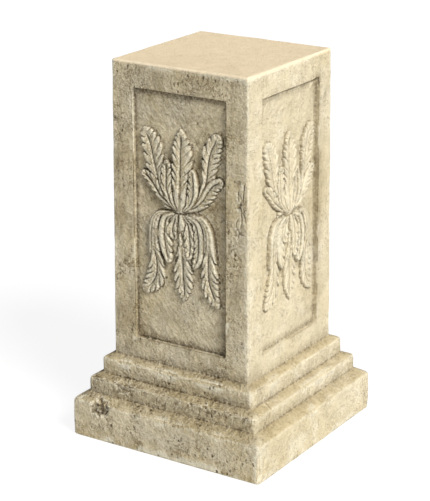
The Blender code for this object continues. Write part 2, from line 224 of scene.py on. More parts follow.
# Broken places, in metres: side, place along it from its middle and up from the ground, half size
# across and up, depth, and from 0 to 1 how ragged the break is and how brown it has become
chips = {
    "plinthCavity": {
        "side": 0, "at": (-0.137, 0.063), "half": (0.020, 0.016), "deep": 0.0085, "rough": 0.9, "stain": 1.0,
    },
    "lowerStepBreak": {
        "side": 0, "at": (-0.101, 0.105), "half": (0.014, 0.013), "deep": 0.0024, "rough": 0.8, "stain": 0.2,
    },
    "upperStepBreak": {
        "side": 1, "at": (-0.128, 0.131), "half": (0.015, 0.017), "deep": 0.0026, "rough": 0.8, "stain": 0.25,
    },
    "lowerStepNotch": {
        "side": 1, "at": (0.0105, 0.089), "half": (0.003, 0.011), "deep": 0.0035, "rough": 0.4, "stain": 0.4,
    },
    "panelCornerWear": {
        "side": 1, "at": (0.090, 0.637), "half": (0.012, 0.014), "deep": 0.0014, "rough": 0.9, "stain": 0.25,
    },
    "stileWear": {
        "side": 1, "at": (0.115, 0.597), "half": (0.006, 0.018), "deep": 0.0012, "rough": 0.9, "stain": 0.25,
    },
    "plinthEndWear": {
        "side": 1, "at": (0.180, 0.030), "half": (0.009, 0.026), "deep": 0.0012, "rough": 0.9, "stain": 0.25,
    },
    "backStepBreak": {
        "side": 2, "at": (0.120, 0.100), "half": (0.016, 0.012), "deep": 0.0030, "rough": 0.8, "stain": 0.4,
    },
    "leftPlinthWear": {
        "side": 3, "at": (-0.060, 0.066), "half": (0.020, 0.008), "deep": 0.0030, "rough": 0.8, "stain": 0.5,
    },
}
# Cracks, in millimetres along the side from its middle and up from the ground
cracks = {
    "stileCrack": {
        "side": 0, "line": ((121, 510), (118, 480), (125, 450), (122, 418)), "half": 1.1, "deep": 1.8,
    },
    "stileBranch": {
        "side": 0, "line": ((116, 492), (124, 478), (121, 462), (130, 452)), "half": 0.9, "deep": 1.3,
    },
    "stileFoot": {
        "side": 0, "line": ((119, 446), (114, 432), (120, 420), (117, 408)), "half": 0.9, "deep": 1.3,
    },
    "stileHairline": {
        "side": 0, "line": ((130, 505), (127, 470), (132, 440)), "half": 1.0, "deep": 1.4,
    },
    "stepCrack": {
        "side": 1, "line": ((-112, 125), (-118, 113), (-124, 104)), "half": 1.0, "deep": 1.5,
    },
}
# Brown stains, and painted shade among them: a painted shadow under each panel's top edge (0, 638)
# and beside the lower right edge of the -Y and +Y panels (82, 241), and painted shade with dirt in the
# gaps between the leaves (up 518 to 520 and 325 to 326) and on the +X panel's right wall (95, 440).
# Each: the sides they are on, middle across and up, half width and height in mm, strength
stainsAndShadows = (
    ((0, 2), -135, 503, 24, 38, 0.7), ((0,), -132, 413, 26, 34, 0.7), ((0, 3), -122, 227, 24, 40, 0.55),
    ((0, 1, 2, 3), 0, 638, 92, 5, 0.35), ((0, 1, 2, 3), -23, 518, 9, 17, 1.0),
    ((0, 1, 2, 3), 36, 520, 8, 15, 1.0), ((0, 2, 3), 57, 452, 26, 12, 0.8),
    ((0, 3), -63, 450, 20, 17, 0.6), ((0, 1, 2, 3), -19, 325, 10, 12, 0.8),
    ((0, 1, 2, 3), 41, 326, 10, 9, 1.0), ((0, 2), 72, 392, 7, 26, 0.6), ((0, 2), -30, 245, 26, 9, 0.5),
    ((0, 3), -82, 204, 14, 14, 0.7), ((0, 2), 82, 241, 10, 50, 0.5), ((0,), 118, 290, 14, 60, 0.4),
    ((0,), -66, 484, 14, 16, 1.0), ((0, 2), -34, 500, 12, 26, 0.6), ((0, 2, 3), -46, 340, 10, 40, 0.4),
    ((0,), 100, 676, 34, 9, 0.5), ((0,), 40, 668, 40, 10, 0.4), ((0,), -50, 664, 80, 20, 0.3),
    ((1,), 88, 628, 10, 20, 0.9), ((1,), 119, 606, 10, 28, 0.6), ((1, 2), -77, 455, 18, 60, 0.3),
    ((1, 3), 104, 480, 10, 60, 0.45), ((1,), -128, 165, 18, 22, 0.6), ((1, 2), 60, 215, 40, 16, 0.35),
    ((2,), 120, 560, 22, 60, 0.5), ((3,), 128, 400, 20, 60, 0.5), ((3,), -110, 640, 30, 20, 0.5),
    ((1,), 95, 440, 3.5, 210, 1.0), ((1,), 100, 420, 7, 200, 0.35), ((1,), 74, 400, 22, 190, 0.3),
)
weather = {
    "waves": ((0.060, 0.9), (0.018, 0.45), (0.0065, 0.22)),    # wavelength in m, depth in mm
    "arrisWear": 1.4, "arrisWave": 0.030, "bandDepth": 1.5, "bandWave": 0.0075,
}


def smoothStep(low, high, value):
    share = np.clip((value - low) / (high - low), 0, 1)
    return share * share * (3 - 2 * share)


def curveThrough(points, steps):
    # A smooth curve through the points, cut into even steps
    given = np.array(points, float)
    ends = np.vstack((2 * given[0] - given[1], given, 2 * given[-1] - given[-2]))
    fine = []
    for before, start, end, after in zip(ends, ends[1:], ends[2:], ends[3:]):
        for t in np.linspace(0, 1, 12, endpoint=False):
            bend = (2 * before - 5 * start + 4 * end - after) * t ** 2
            twist = (3 * start - before - 3 * end + after) * t ** 3
            fine.append((2 * start + (end - before) * t + bend + twist) / 2)
    fine = np.array(fine + [given[-1]])
    travelled = np.concatenate(([0], np.cumsum(np.linalg.norm(np.diff(fine, axis=0), axis=1))))
    even = np.linspace(0, travelled[-1], steps + 1)
    return np.column_stack([np.interp(even, travelled, fine[:, axis]) for axis in (0, 1)]), travelled[-1]


def nearestOn(line, points):
    # How far along the line each point lies, and its distance, which is positive on the left
    step = np.diff(line, axis=0)
    away = points[:, None] - line[:-1]
    share = np.clip((away * step).sum(2) / (step ** 2).sum(1), 0, 1)
    gap = away - share[..., None] * step
    distance = np.hypot(gap[..., 0], gap[..., 1])
    best = distance.argmin(1)
    rows = np.arange(len(points))
    turn = step[best, 0] * gap[rows, best, 1] - step[best, 1] * gap[rows, best, 0]
    onLine = line[:-1][best] + share[rows, best, None] * step[best]
    return (best + share[rows, best]) / len(step), np.copysign(distance[rows, best], turn), onLine


def spread(values, share):
    # A leaf's values, given from base to tip, at each share of its length
    places = np.linspace(0, 1, len(values))
    fine = np.interp(np.linspace(0, 1, 61), places, values)
    soft = np.convolve(np.pad(fine, 4, mode="edge"), np.ones(9) / 9, mode="valid")
    soft[-4:] = fine[-4:]
    return np.interp(share, np.linspace(0, 1, 61), soft)


def carveLeaf(leaf, points):
    # The leaf's height at the points, how far inside its outline they lie, and its creases
    line, length = curveThrough(leaf["spine"], spray["spineSteps"])
    share, across, onLine = nearestOn(line, points)
    if line[-1, 1] < line[0, 1]:
        across = -across
    away = np.abs(across)
    onLeft = across > 0
    width = np.where(onLeft, spread(leaf["left"], share), spread(leaf["right"], share))
    spacing = np.where(onLeft, *leaf["lobe"])
    lean = np.where(onLeft, *leaf["lean"])
    lobed = smoothStep(leaf["cut"] - 0.05, leaf["cut"] + 0.06, share) * (spacing > 0)
    spacing = np.where(spacing > 0, spacing, 10)
    along = share * length
    sweep = lean * width * (away / np.maximum(width, 1)) ** spray["sweepPower"]
    uneven = 0.13 * np.sin(along / 9 + leaf["left"][2]) + 0.03 * np.sin(along / 2.9 + leaf["right"][2])
    crowded = along * (1 + spray["crowding"] * share)
    turn = ((crowded - leaf["cut"] * length - sweep) / spacing + uneven) % 1
    high = spray["notchAt"]
    tooth = np.where(turn < high, (1 - turn / high) ** 2, ((turn - high) / (1 - high)) ** 2)
    blunt = 1.1 * max(leaf["left"][-1], leaf["right"][-1]) / length
    nose = np.sqrt(1 - np.clip((share - 1 + blunt) / blunt, 0, 1) ** 2)
    scallop = (np.abs(np.sin((along - sweep) * pi / spray["scallop"])) - 0.6) * lobed
    slender = np.clip(width / 16, 0.4, 1)
    notch = spray["notch"] * (0.8 + 0.35 * np.sin(along / 5 + leaf["left"][1])) * lobed * slender
    reach = (width * (1 - notch * tooth) + spray["ripple"] * scallop) * nose
    ratio = np.clip(away / np.maximum(reach, 0.1), 0, 1)
    edge, crest = spread(leaf["edge"], share), spread(leaf["crest"], share)
    slant = np.sqrt(1 + lean ** 2)
    between = np.minimum(turn, 1 - turn) * spacing / slant
    outward = smoothStep(0.25, 0.8, ratio)
    valley = np.exp(-(between / spray["valleyHalf"]) ** 2) * (0.15 + 0.85 * outward)
    valley = valley * lobed * slender * smoothStep(0, 0.12, ratio)
    swell = (np.sin(pi * turn ** 1.25) - 0.6) * outward * lobed
    swell = swell * (1 + 0.35 * np.sin(along / 6 + leaf["right"][1]))
    ribbed = (1 - smoothStep(0.86, 0.96, share)) * smoothStep(0.05, 0.2, share) * (leaf["cut"] < 1)
    ribbed = ribbed * (1 if leaf["reeds"] == 2 else lobed)
    middle = np.exp(-(away / spray["middleHalf"]) ** 2) * ribbed
    trough = np.exp(-(away / spray["troughHalf"]) ** 2) * ribbed
    bead = np.exp(-((turn - 0.5) * spacing / slant / spray["beadHalf"]) ** 2)
    bead = bead * smoothStep(0.55, 0.85, ratio) * lobed
    stalk = (1 - lobed) * (leaf["reeds"] > 0)
    wave = np.abs(np.sin(pi * leaf["reeds"] * (across / width + 1) / 2))
    height = edge + (crest - edge) * (1 - ratio ** 3) * (1 - 0.3 * trough * (1 - lobed))
    height -= spray["cup"] * (1 - ratio) ** 1.4 * lobed * ribbed
    height += spray["swell"] * swell + spray["reed"] * (wave - 0.7) * stalk + spray["bead"] * bead
    height -= spray["valley"] * valley + spray["midGroove"] * middle
    crease = np.maximum(np.maximum(0.75 * valley, middle), 0.6 * (1 - wave) ** 3 * stalk)
    return height, reach - away, crease, onLine


def carveSpray(points):
    # The whole spray's height over the panel's floor in mm, and its creases from 0 to 1
    height, crease = np.zeros(len(points)), np.zeros(len(points))
    for leaf in leaves.values():
        spine = np.array(leaf["spine"])
        reach = max(leaf["left"] + leaf["right"]) + 6
        near = np.all((points > spine.min(0) - reach) & (points < spine.max(0) + reach), axis=1)
        if not near.any():
            continue
        top, inside, fold, onLine = carveLeaf(leaf, points[near])
        cover = smoothStep(0, spray["wall"], inside)
        rim = np.exp(-(np.minimum(inside, 0) / spray["rim"]) ** 2)
        height[near] = (height[near] - spray["undercut"] * rim) * (1 - cover) + top * cover
        # The crease mask here (the rim outside each leaf's outline, its folds, and the tie groove below) is
        # painted in the material as shade with dirt
        crease[near] = np.maximum(crease[near], rim) * (1 - cover) + fold * cover
    line, length = curveThrough(tieGroove["line"], 20)
    share, across, onLine = nearestOn(line, points)
    cut = np.exp(-(across / tieGroove["half"]) ** 2) * smoothStep(0, 0.12, share) * smoothStep(1, 0.88, share)
    return height - tieGroove["deep"] * cut * (height > 0.5), np.maximum(crease, 0.85 * cut)


def drawnIn(points, cells):
    # Points close to a leaf's outline or middle line, moved onto it, where no leaf lies above
    moved, free = points.copy(), np.ones(len(points), bool)
    for leaf in reversed(leaves.values()):
        spine = np.array(leaf["spine"])
        reach = max(leaf["left"] + leaf["right"]) + 6
        near = free & np.all((points > spine.min(0) - reach) & (points < spine.max(0) + reach), axis=1)
        chosen = np.flatnonzero(near)
        if not len(chosen):
            continue
        top, inside, fold, onLine = carveLeaf(leaf, points[chosen])
        cell = cells[chosen]
        outward = points[chosen] - onLine
        away = np.linalg.norm(outward, axis=1)
        outward /= np.maximum(away, 0.01)[:, None]
        onRim = (np.abs(inside) < 0.42 * cell) & (away > 1)
        moved[chosen[onRim]] += outward[onRim] * inside[onRim, None]
        onMiddle = (inside > cell) & (away < 0.42 * cell) & (leaf["cut"] < 1)
        moved[chosen[onMiddle]] = onLine[onMiddle]
        free[chosen[inside > -0.3 * cell]] = False
    return moved


def straightRows(start, end):
    # Rows between two bends; the shaft's rows also meet the panel's foot and top
    stops = [start.y, end.y]
    if start.y < panelFoot < end.y:
        stops = [start.y, panelFoot, panelTop, end.y]
    shares = []
    for low, high in zip(stops, stops[1:]):
        rise = (end - start).length
        if end.y > start.y:
            rise = rise * (high - low) / (end.y - start.y)
        count = max(1, round(rise / bodyGrid["cell"]))
        for step in range(count):
            height = low + (high - low) * step / count
            shares.append((height - start.y) / (end.y - start.y) if end.y > start.y else step / count)
    return [start.lerp(end, share) for share in shares[1:]]


def outlineRows():
    # Half width and height from the ground to the top, with a rounded turn at each bend
    turns = (
        (plinthHalf, 0.0, footShape["baseRounding"]),
        (plinthHalf, plinthTop, footShape["stepRounding"]),
        (lowerHalf, lowerFoot, footShape["creaseRounding"]),
        (lowerHalf, lowerTop, footShape["stepRounding"]),
        (upperHalf, upperFoot, footShape["creaseRounding"]),
        (upperHalf, upperTop, footShape["stepRounding"]),
        (shaftFootHalf, shaftFoot, footShape["creaseRounding"]),
        (shaftTopHalf, shaftTop, shaftShape["topRounding"]),
    )
    ends = [Vector((plinthHalf / 2, 0))] + [Vector(turn[:2]) for turn in turns]
    ends.append(Vector((shaftTopHalf / 2, shaftTop)))
    rows, leaving = [], None
    for index, (half, height, rounding) in enumerate(turns):
        corner = Vector((half, height))
        arriving = corner + (ends[index] - corner).normalized() * rounding
        onward = corner + (ends[index + 2] - corner).normalized() * rounding
        if leaving is not None:
            rows += straightRows(leaving, arriving)
        for step in range(bodyGrid["curveSteps"]):
            share = step / bodyGrid["curveSteps"]
            rows.append(arriving.lerp(corner, share).lerp(corner.lerp(onward, share), share))
        rows.append(onward)
        leaving = onward
    return rows


def sectionPoints(half, height):
    # One side's points at one height, from the middle of one corner to the middle of the next
    onShaft = min(max((height - upperTop) / (shaftFoot - upperTop), 0), 1)
    rounding = footShape["cornerRounding"] * (1 - onShaft) + shaftShape["cornerRounding"] * onShaft
    straight = half - rounding
    inner = panelHalf * max(1, half / shaftFootHalf)
    turns, margin, middle = bodyGrid["cornerSteps"], bodyGrid["marginCells"], bodyGrid["panelCells"]
    places = [-straight + (straight - inner) * step / margin for step in range(margin)]
    places += [-inner + 2 * inner * step / middle for step in range(middle)]
    places += [inner + (straight - inner) * step / margin for step in range(margin + 1)]
    points = [(place, half) for place in places]
    for step in range(1, turns + 1):
        angle = radians(45) * step / turns
        across, out = straight + rounding * sin(angle), straight + rounding * cos(angle)
        points = [(-across, out)] + points + [(across, out)]
    return points


def blockOut():
    # Four gridded sides welded at the corners, a gridded top and a plain underside
    rows = outlineRows()
    sections = [sectionPoints(row.x, row.y) for row in rows]
    acrossCells, upCells = len(sections[0]) - 1, len(rows) - 1
    bm = bmesh.new()
    for side in range(4):
        before = len(bm.verts)
        bmesh.ops.create_grid(bm, x_segments=acrossCells, y_segments=upCells, size=1)
        bm.verts.ensure_lookup_table()
        fresh = bm.verts[before:]
        for vert in fresh:
            row = round((vert.co.y + 1) / 2 * upCells)
            along, out = sections[row][round((vert.co.x + 1) / 2 * acrossCells)]
            vert.co = (along, -out, rows[row].y)
        bmesh.ops.rotate(bm, verts=fresh, matrix=Matrix.Rotation(radians(90 * side), 3, "Z"))
    bmesh.ops.remove_doubles(bm, verts=bm.verts, dist=0.00005)
    rim = [edge for edge in bm.edges if edge.is_boundary and edge.verts[0].co.z > shaftTop / 2]
    rails = [edge for edge in rim if all(abs(vert.co.y) >= abs(vert.co.x) - 0.00001 for vert in edge.verts)]
    bmesh.ops.grid_fill(bm, edges=rails, mat_nr=0, use_smooth=True, use_interp_simple=True)
    bmesh.ops.contextual_create(bm, geom=[edge for edge in bm.edges if edge.is_boundary])
    bmesh.ops.recalc_face_normals(bm, faces=bm.faces)
    return bm


def turned(points, side):
    # Points as one sees them when facing a side: across, outwards, up
    angle = -radians(90) * side
    x = points[:, 0] * np.cos(angle) - points[:, 1] * np.sin(angle)
    y = points[:, 0] * np.sin(angle) + points[:, 1] * np.cos(angle)
    return np.column_stack((x, -y, points[:, 2]))


def sideOf(points):
    heading = np.degrees(np.arctan2(points[:, 0], -points[:, 1]))
    return np.floor((heading + 45) / 90).astype(int) % 4


def vertexPoints(bm):
    return np.array([vert.co[:] for vert in bm.verts])


def floorOut(height):
    # How far out the panel's floor stands at a height
    return shaftFootHalf - (height - shaftFoot) * np.tan(shaftLean) - panelDepth


def onFloor(points):
    facing = facingView(points)
    across = np.abs(facing[:, 0]) < panelHalf - panelInset + 0.0004
    up = (facing[:, 2] > panelFoot + panelInset - 0.0004) & (facing[:, 2] < panelTop - panelInset + 0.0004)
    return across & up & (np.abs(facing[:, 1] - floorOut(facing[:, 2])) < 0.0004)


def facingView(points):
    sides = sideOf(points)
    facing = np.zeros_like(points)
    for side in range(4):
        here = sides == side
        facing[here] = turned(points[here], side)
    return facing


def sprayPlace(points):
    # Millimetres from the tie, across and up; each side was cast with its tie at its own height
    facing = facingView(points)
    tieHeight = (panelFoot + panelTop) / 2 / mm + np.array(spray["tieAboveMiddle"])[sideOf(points)]
    return np.column_stack((facing[:, 0] / mm - spray["tieAside"], facing[:, 2] / mm - tieHeight))


def sinkPanels(bm):
    for side in range(4):
        bm.faces.ensure_lookup_table()
        centres = np.array([face.calc_center_median()[:] for face in bm.faces])
        facing = turned(centres, side)
        inside = (np.abs(facing[:, 0]) < panelHalf) & (facing[:, 2] > panelFoot) & (facing[:, 2] < panelTop)
        inside &= facing[:, 1] > shaftTopHalf - 0.002
        chosen = [bm.faces[index] for index in np.flatnonzero(inside)]
        for across, down in panelRings:
            bmesh.ops.inset_region(
                bm, faces=chosen, thickness=across * mm, depth=-down * mm, use_even_offset=True)


def splitFaces(bm, chosen):
    edges = {edge for face in chosen for edge in face.edges}
    bmesh.ops.subdivide_edges(bm, edges=list(edges), cuts=1, use_grid_fill=True, use_single_edge=True)


def refineSpray(bm, tolerances):
    # Cells are split where the carving bends more than the tolerance, in mm
    for level, tolerance in enumerate(tolerances):
        bm.faces.ensure_lookup_table()
        quads = [face for face in bm.faces if len(face.verts) == 4]
        centres = np.array([face.calc_center_median()[:] for face in quads])
        quads = [quads[index] for index in np.flatnonzero(onFloor(centres))]
        corners = np.array([[vert.co[:] for vert in face.verts] for face in quads])
        middles = (corners + np.roll(corners, 1, axis=1)) / 2
        samples = np.concatenate((corners, middles, corners.mean(1, keepdims=True)), axis=1)
        heights = carveSpray(sprayPlace(samples.reshape(-1, 3)))[0].reshape(len(quads), 9)
        corner, middle, centre = heights[:, :4], heights[:, 4:8], heights[:, 8]
        bend = np.abs(middle - (corner + np.roll(corner, 1, axis=1)) / 2).max(1)
        bend = np.maximum(bend, np.abs(centre - corner.mean(1)))
        bent = {quads[index] for index in np.flatnonzero(bend > tolerance)}
        if level == 0:
            bent = {other for face in bent for vert in face.verts for other in vert.link_faces}
        splitFaces(bm, bent)
        print("   spray cells at", tolerance, "mm:", len(bm.faces), "faces")


def drawOutlines(bm):
    # Slides the floor's points in its plane onto the leaves' outlines and middle lines
    points = vertexPoints(bm)
    floor = np.flatnonzero(onFloor(points))
    bm.verts.ensure_lookup_table()
    cells = np.array([min(edge.calc_length() for edge in bm.verts[index].link_edges) for index in floor]) / mm
    before = sprayPlace(points[floor])
    shift = (drawnIn(before, cells) - before) * mm
    for index, side, (across, up) in zip(floor, sideOf(points[floor]), shift):
        lean = -up * np.tan(shaftLean)
        bm.verts[index].co += Matrix.Rotation(radians(90 * side), 3, "Z") @ Vector((across, -lean, up))


def splitFoot(bm):
    # Cells half as long along the plinth, the steps and the top's arris, where the edges are worn
    worn = []
    for edge in bm.edges:
        start, end = edge.verts[0].co, edge.verts[1].co
        level = abs(start.z - end.z) < 0.0001 and min((start - end).length, 1) > 0.006
        if level and (0.0001 < start.z < shaftFoot or start.z > shaftTop - 0.006):
            worn.append(edge)
    bmesh.ops.subdivide_edges(bm, edges=worn, cuts=1, use_grid_fill=True, use_single_edge=True)


def refineDamage(bm):
    # Chips and cracks get cells of 2 mm, the eroded band and the worn places around them 4 mm
    for level in range(3):
        bm.faces.ensure_lookup_table()
        centres = np.array([face.calc_center_median()[:] for face in bm.faces])
        sizes = np.array([face.calc_area() for face in bm.faces])
        facing, sides = facingView(centres), sideOf(centres)
        near = np.zeros(len(centres), bool)
        for chip in chips.values():
            away = (facing[:, (0, 2)] - chip["at"]) / chip["half"]
            near |= (sides == chip["side"]) & (np.hypot(away[:, 0], away[:, 1]) < 1.45 - 0.12 * level)
        for crack in cracks.values():
            line, length = curveThrough(crack["line"], 20)
            share, across, onLine = nearestOn(line, facing[:, (0, 2)] / mm)
            near |= (sides == crack["side"]) & (np.abs(across) < 5 - level)
        if level < 2:
            near |= (sides == 0) & (centres[:, 2] > lowerFoot) & (centres[:, 2] < lowerTop + 0.002)
        near &= (sizes > (3 * mm) ** 2) & (centres[:, 2] > 0.001)
        splitFaces(bm, [bm.faces[index] for index in np.flatnonzero(near)])
    print("   damage cells:", len(bm.faces), "faces")


def roughness(points, wavelength, seed, stretch=(1, 1, 1)):
    # Smooth noise from -1 to 1 at the points
    scaled = points * np.array(stretch) / wavelength + seed * 17.3
    return np.array([noise.noise(place) for place in scaled.tolist()])


def carveStone(bm):
    # Moves every point along its normal: the spray out of the floor, the damage and wear into it
    bm.normal_update()
    points = vertexPoints(bm)
    normals = np.array([vert.normal[:] for vert in bm.verts])
    facing, sides = facingView(points), sideOf(points)
    crease, broken, stain = np.zeros(len(points)), np.zeros(len(points)), np.zeros(len(points))
    move = np.zeros(len(points))

    floor = onFloor(points)
    height, fold = carveSpray(sprayPlace(points[floor]))
    height *= smoothStep(0, 0.003, panelHalf - panelInset - np.abs(facing[floor, 0]))
    move[floor] += height
    crease[floor] = fold

    for seed, (wavelength, depth) in enumerate(weather["waves"]):
        wave = roughness(points, wavelength, seed + 1) * 0.5 - 0.5
        move += depth * wave * np.where(floor & (move > 1), 0.35, 1)

    height = points[:, 2]
    sunk = floorOut(height) + panelDepth - facing[:, 1]
    inPanel = (np.abs(facing[:, 0]) < panelHalf) & (height > panelFoot) & (height < panelTop)
    inPanel &= (sunk > 0.0005) & (height > shaftFoot)
    # How close a point lies to the panel's sunk edge and how deep it is in the recess: this joins the crease
    # mask as painted shade with dirt
    rimWay = np.minimum(panelHalf - panelInset - np.abs(facing[:, 0]), height - panelFoot - panelInset)
    rimWay = np.minimum(rimWay, panelTop - panelInset - height)
    deepness = np.where(rimWay > 0, np.exp(-(rimWay / 0.0022) ** 2), (sunk / panelDepth) ** 2)
    crease = np.maximum(crease, 0.8 * deepness * inPanel)

    hollow = convexity(bm, points, normals)
    # Hollows on the foot join the crease mask: painted shade with dirt
    crease = np.maximum(crease, 0.9 * smoothStep(-0.025, -0.07, hollow) * (height < shaftFoot + 0.004))
    arris = smoothStep(0.03, 0.09, hollow)
    nearPanel = (np.abs(facing[:, 0]) < panelHalf + 0.003) & (height < panelTop + 0.003)
    nearPanel &= height > panelFoot - 0.003
    wear = smoothStep(-0.25, 0.6, roughness(points, weather["arrisWave"], 9))
    onFoot = points[:, 2] < shaftFoot
    move -= weather["arrisWear"] * arris * wear * np.where(onFoot, 1, np.where(inPanel | nearPanel, 0.1, 0.4))

    # A line where each step's riser and the shaft rise from the ledge below joins the crease mask: painted
    # shade with dirt in the crease
    for half, foot in ((lowerHalf, lowerFoot), (upperHalf, upperFoot), (shaftFootHalf, shaftFoot)):
        away = np.hypot(facing[:, 1] - half, height - foot)
        crease = np.maximum(crease, 0.5 * np.exp(-(away / 0.005) ** 2))

    band = (sides == 0) & (points[:, 2] > lowerFoot + 0.002) & (points[:, 2] < lowerTop + 0.003)
    pits = np.clip(roughness(points, weather["bandWave"], 4) + 0.6 * roughness(points, 0.003, 5), 0, 1)
    move -= weather["bandDepth"] * pits * np.where(band, 1.0, 0.0)
    crease = np.maximum(crease, 0.9 * pits * band)
    stain = np.maximum(stain, band * (0.25 + 0.6 * pits))

    ragged = roughness(points, 0.007, 6)
    fine = roughness(points, 0.0032, 7)
    for chip in chips.values():
        away = (facing[:, (0, 2)] - chip["at"]) / chip["half"]
        farOut = np.hypot(away[:, 0], away[:, 1]) + chip["rough"] * (0.32 * ragged + 0.12 * fine)
        inside = smoothStep(1.0, 0.78, farOut) * (sides == chip["side"]) * (points[:, 2] > 0.003)
        move -= inside * chip["deep"] / mm * (0.72 + chip["rough"] * (0.45 * ragged + 0.25 * fine))
        broken = np.maximum(broken, inside * chip["stain"])
    for crack in cracks.values():
        line, length = curveThrough(crack["line"], 20)
        wander = 1.5 * np.column_stack((ragged, fine))
        share, across, onLine = nearestOn(line, facing[:, (0, 2)] / mm + wander)
        cut = np.exp(-(across / crack["half"]) ** 2) * (sides == crack["side"])
        move -= crack["deep"] * cut
        crease = np.maximum(crease, cut)

    # Each spot is laid on as brown; the shadow and gap spots among them are painted shade
    for chosen, middle, up, half, tall, strength in stainsAndShadows:
        away = (facing[:, (0, 2)] / mm - (middle, up)) / (half, tall)
        spot = np.exp(-(away ** 2).sum(1)) * np.isin(sides, chosen) * strength
        stain = 1 - (1 - stain) * (1 - spot)
    tread = smoothStep(0.4, 0.8, normals[:, 2]) * (height < shaftFoot + 0.002)

    flat = points[:, 2] < 0.0001    # the underside stays flat on the ground
    move[flat & (normals[:, 2] < -0.9)] = 0
    nearTop = smoothStep(shaftShape["topLiftReach"], 0.004, panelTop - height) * (height < panelTop + 0.0005)
    inCorner = smoothStep(0.045, 0.088, facing[:, 0])
    lift = np.array(shaftShape["topLift"])[sides] * nearTop * (1 - 0.5 * inCorner) * np.clip(sunk, 0, 1)
    lift *= (np.abs(facing[:, 0]) < panelHalf + 0.0005) & (normals[:, 2] < 0.9)
    for vert, shift, direction, rise, side in zip(bm.verts, move * mm, normals, lift, sides):
        outwards = Matrix.Rotation(radians(90 * side), 3, "Z") @ Vector((0, -rise, 0))
        vert.co += Vector(direction) * shift + outwards
        vert.co.z = max(vert.co.z, 0)
    return {"crease": crease, "broken": broken, "stain": stain, "sunk": floor * 1.0, "tread": tread}


def convexity(bm, points, normals):
    # Positive where the surface turns outward, as at an arris, and negative in a crease
    ends = np.array([[edge.verts[0].index, edge.verts[1].index] for edge in bm.edges])
    along = points[ends[:, 1]] - points[ends[:, 0]]
    length = np.linalg.norm(along, axis=1) + 1e-9
    total, count = np.zeros(len(points)), np.zeros(len(points))
    for start, end, sign in ((0, 1, -1), (1, 0, 1)):
        lean = sign * (along * normals[ends[:, start]]).sum(1) / length
        np.add.at(total, ends[:, start], lean)
        np.add.at(count, ends[:, start], 1)
    return total / np.maximum(count, 1)


def shelter(bm, reach=0.030, rings=((0.35, 5), (0.85, 8))):
    # The share of the sky that each point can't see, within reach
    tree = BVHTree.FromBMesh(bm)
    rays = [(0, 0, 1)]
    for tilt, count in rings:
        for step in range(count):
            around = 2 * pi * step / count
            rays.append((sin(tilt) * cos(around), sin(tilt) * sin(around), cos(tilt)))
    rays = [Vector(ray) for ray in rays]
    hidden = np.zeros(len(bm.verts))
    for index, vert in enumerate(bm.verts):
        turn = vert.normal.to_track_quat("Z", "Y")
        start = vert.co + vert.normal * 0.0004
        for ray in rays:
            place, normal, face, distance = tree.ray_cast(start, turn @ ray, reach)
            if distance is not None:
                hidden[index] += 1 - 0.5 * distance / reach
    return hidden / len(rays)


def castPedestal():
    bm = blockOut()
    sinkPanels(bm)
    print("blocked out:", len(bm.faces), "faces")
    splitFoot(bm)
    refineSpray(bm, (0.1, 0.25, 0.44, 1.35))
    drawOutlines(bm)
    refineDamage(bm)
    bm.verts.index_update()
    bmesh.ops.triangulate(bm, faces=[face for face in bm.faces if len(face.verts) > 4])
    bm.verts.index_update()
    paint = carveStone(bm)
    bm.normal_update()
    points = vertexPoints(bm)
    normals = np.array([vert.normal[:] for vert in bm.verts])
    paint["turning"] = convexity(bm, points, normals)
    # The share of sky each point can't see, left out on ridges: the material paints it as shade with dirt
    paint["shelter"] = shelter(bm) * (1 - smoothStep(0.005, 0.05, paint["turning"]))
    print("carved:", sum(len(face.verts) - 2 for face in bm.faces), "triangles")
    print("open or shared edges:", sum(len(edge.link_faces) != 2 for edge in bm.edges))
    mesh = bpy.data.meshes.new("pedestal_casting")
    bm.to_mesh(mesh)
    bm.free()
    for name, values in paint.items():
        mesh.attributes.new(name, "FLOAT", "POINT").data.foreach_set("value", values.astype(np.float32))
    mesh.shade_smooth()
    piece = bpy.data.objects.new("pedestal_casting", mesh)
    crisp = piece.modifiers.new("crisp", "WEIGHTED_NORMAL")
    crisp.mode, crisp.weight = "FACE_AREA", 50
    bpy.context.scene.collection.objects.link(piece)
    return piece


class Wire:
    # One value in a material: + - * add Math nodes, on either side of a number
    def __init__(self, tree, socket):
        self.tree, self.socket = tree, socket

    def maths(self, operation, first, second):
        return addNode(self.tree, "ShaderNodeMath", {"operation": operation}, {0: first, 1: second})

    def __add__(self, other):
        return self.maths("ADD", self, other)

    def __radd__(self, other):
        return self.maths("ADD", other, self)

    def __sub__(self, other):
        return self.maths("SUBTRACT", self, other)

    def __rsub__(self, other):
        return self.maths("SUBTRACT", other, self)

    def __mul__(self, other):
        return self.maths("MULTIPLY", self, other)

    def __rmul__(self, other):
        return self.maths("MULTIPLY", other, self)

    def size(self):
        return self.maths("ABSOLUTE", self, 0)

    def limited(self):
        return addNode(self.tree, "ShaderNodeClamp", {}, {0: self})

    def between(self, low, high):
        # 0 below low, 1 above high, and smooth from one to the other
        smooth = {"interpolation_type": "SMOOTHSTEP"}
        return addNode(self.tree, "ShaderNodeMapRange", smooth, {0: self, 1: low, 2: high})


def addNode(tree, kind, settings, sockets, output=0):
    node = tree.nodes.new(kind)
    for name, value in settings.items():
        setattr(node, name, value)
    for name, value in sockets.items():
        if isinstance(value, Wire):
            tree.links.new(value.socket, node.inputs[name])
        else:
            node.inputs[name].default_value = value
    return Wire(tree, node.outputs[output])


def screenTone(red, green, blue):
    # An 8-bit screen colour as the linear colour that a shader takes
    return tuple(round((tone / 255) ** 2.2, 4) for tone in (red, green, blue)) + (1,)


